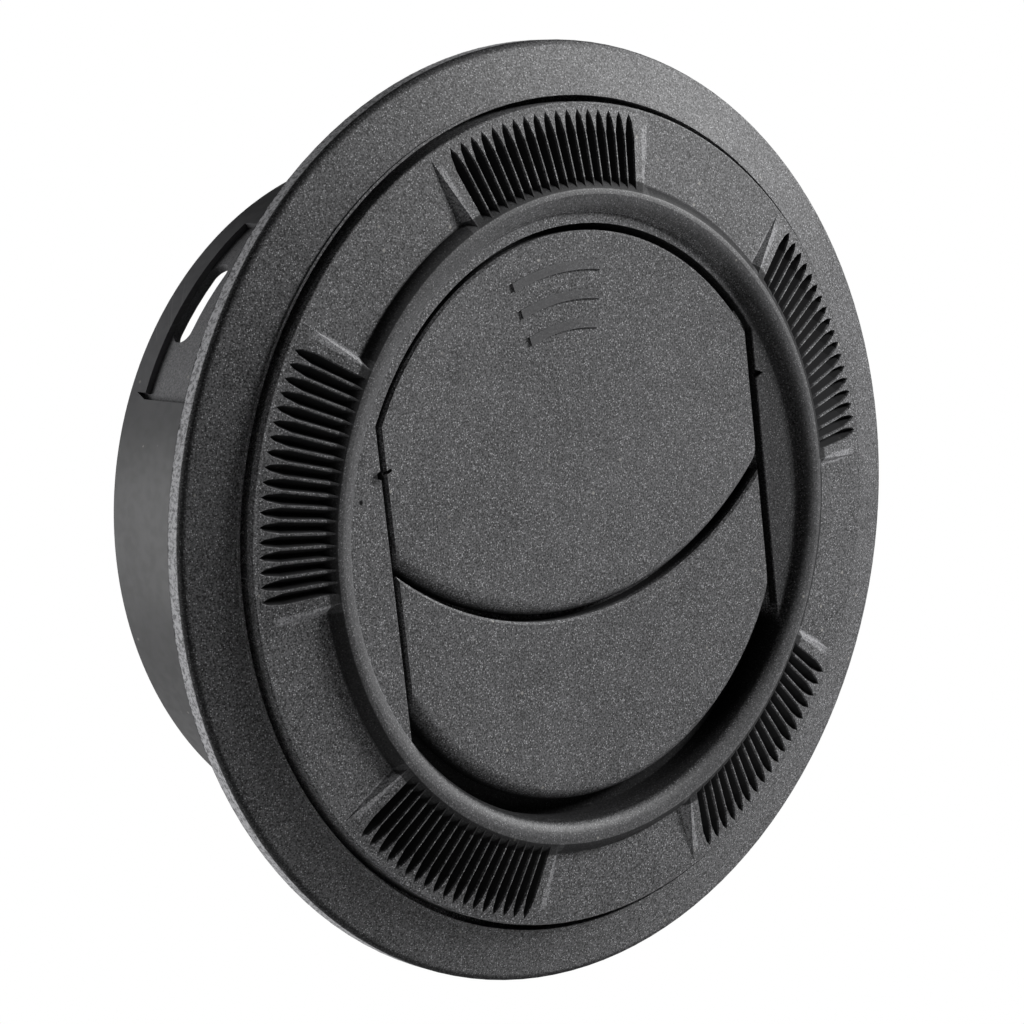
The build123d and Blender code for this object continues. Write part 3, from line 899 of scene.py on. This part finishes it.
class Lamp(Enum):
    """Soft boxes of the studio."""

    KEY = SoftBox((0.82, -0.43, 0.37), 0.9, 0.22, 16.5)
    RIM = SoftBox((-0.84, 0.52, 0.0), 0.9, 0.7, 7.5)


@dataclass
class Studio:
    """Floor, world and soft boxes; sizes in metres."""

    floor_drop: float = 0.36
    floor_size: float = 6.0
    world_level: float = 0.05
    lamps: tuple[Lamp, ...] = field(default=tuple(Lamp))

    def build(self) -> None:
        """Make the world, the floor and the lamps."""
        self._make_world()
        self._make_floor()
        for lamp in self.lamps:
            self._make_lamp(lamp)

    def _make_world(self) -> None:
        """White for the camera, and a plain even level for everything else."""
        world = bpy.data.worlds.new("studio")
        world.use_nodes = True
        bpy.context.scene.world = world
        build = NodeBuilder(world.node_tree)
        seen = build.add("ShaderNodeLightPath", {}, {}, "Is Camera Ray")
        level = build.node("ShaderNodeBackground", {}, {"Color": rgba(WHITE), "Strength": self.world_level})
        white = build.node("ShaderNodeBackground", {}, {"Color": rgba(WHITE), "Strength": 1.0})
        build.node("ShaderNodeOutputWorld", {}, {"Surface": build.blend(seen, level, white)})

    def _make_floor(self) -> None:
        """Plain pale floor below the vent."""
        bpy.ops.mesh.primitive_plane_add(size=self.floor_size, location=(0, 0, -self.floor_drop))
        floor = bpy.context.object
        floor.name = "floor"
        material = bpy.data.materials.new("pale_floor")
        material.use_nodes = True
        build = NodeBuilder(material.node_tree)
        seen = build.add("ShaderNodeLightPath", {}, {}, "Is Camera Ray")
        matt = build.node("ShaderNodeBsdfDiffuse", {}, {"Color": rgba(FLOOR_GREY)})
        white = build.node("ShaderNodeEmission", {}, {"Color": rgba(WHITE), "Strength": 1.0})
        build.node("ShaderNodeOutputMaterial", {}, {"Surface": build.blend(seen, matt, white)})
        floor.data.materials.append(material)

    def _make_lamp(self, lamp: Lamp) -> None:
        """Make one soft box that faces the vent.

        Args:
            lamp: The soft box.
        """
        name = f"lamp_{lamp.name.lower()}"
        box = lamp.value
        light = bpy.data.lights.new(name, "AREA")
        light.shape = "SQUARE"
        light.size = box.size
        light.energy = box.power
        holder = bpy.data.objects.new(name, light)
        bpy.context.scene.collection.objects.link(holder)
        towards = Vector(box.direction).normalized()
        holder.location = towards * box.distance
        holder.rotation_euler = (-towards).to_track_quat("-Z", "Y").to_euler()


@dataclass
class PhotoCamera:
    """Camera at the photograph's angle, distance and roll; sizes in millimetres and degrees.

    Attributes:
        lens: Focal length.
        sensor: Width of the sensor.
        distance: Distance from the middle of the flange's front edge.
        side: How far the picture's middle lies to the left of that point.
        rise: How far the picture's middle lies below that point.
        azimuth: Angle round to the left of the vent.
        elevation: Angle above the vent's axis.
        roll: Turn about the line of sight.
        edge_height: Height of the flange's front edge above the panel.
    """

    lens: float = 118.46
    sensor: float = 36.0
    distance: float = 358.435
    side: float = 5.036
    rise: float = -0.1955
    azimuth: float = 40.610
    elevation: float = 11.884
    roll: float = -6.174
    edge_height: float = 1.6

    def build(self) -> None:
        """Make the camera and set it as the scene's own."""
        turn = math.radians(self.azimuth)
        lift = math.radians(self.elevation)
        roll = math.radians(self.roll)
        back = Vector((-math.sin(turn) * math.cos(lift), -math.cos(turn) * math.cos(lift), math.sin(lift)))
        level = Vector((math.cos(turn), -math.sin(turn), 0.0))
        upright = back.cross(level)
        right = math.cos(roll) * level + math.sin(roll) * upright
        up = -math.sin(roll) * level + math.cos(roll) * upright
        centre = Vector((0.0, -self.edge_height * MM, 0.0))
        place = self.distance * back - self.side * right - self.rise * up
        data = bpy.data.cameras.new("camera")
        data.sensor_width = self.sensor
        data.lens = self.lens
        data.clip_start = 0.01
        data.clip_end = 20.0
        camera = bpy.data.objects.new("camera", data)
        bpy.context.scene.collection.objects.link(camera)
        axes = Matrix((right, up, back)).transposed()
        camera.matrix_world = Matrix.Translation(centre + place * MM) @ axes.to_4x4()
        bpy.context.scene.camera = camera


def main() -> None:
    """Build the looks, the studio and the camera."""
    logging.basicConfig(level=logging.INFO)
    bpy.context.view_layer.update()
    for assembly in (Housing(), GripRing(), Flaps()):
        assembly.dress()
        LOG.info("built %s", type(assembly).__name__)
    Studio().build()
    PhotoCamera().build()
    bpy.context.scene.view_settings.view_transform = "Standard"


if __name__ == "__main__":
    main()
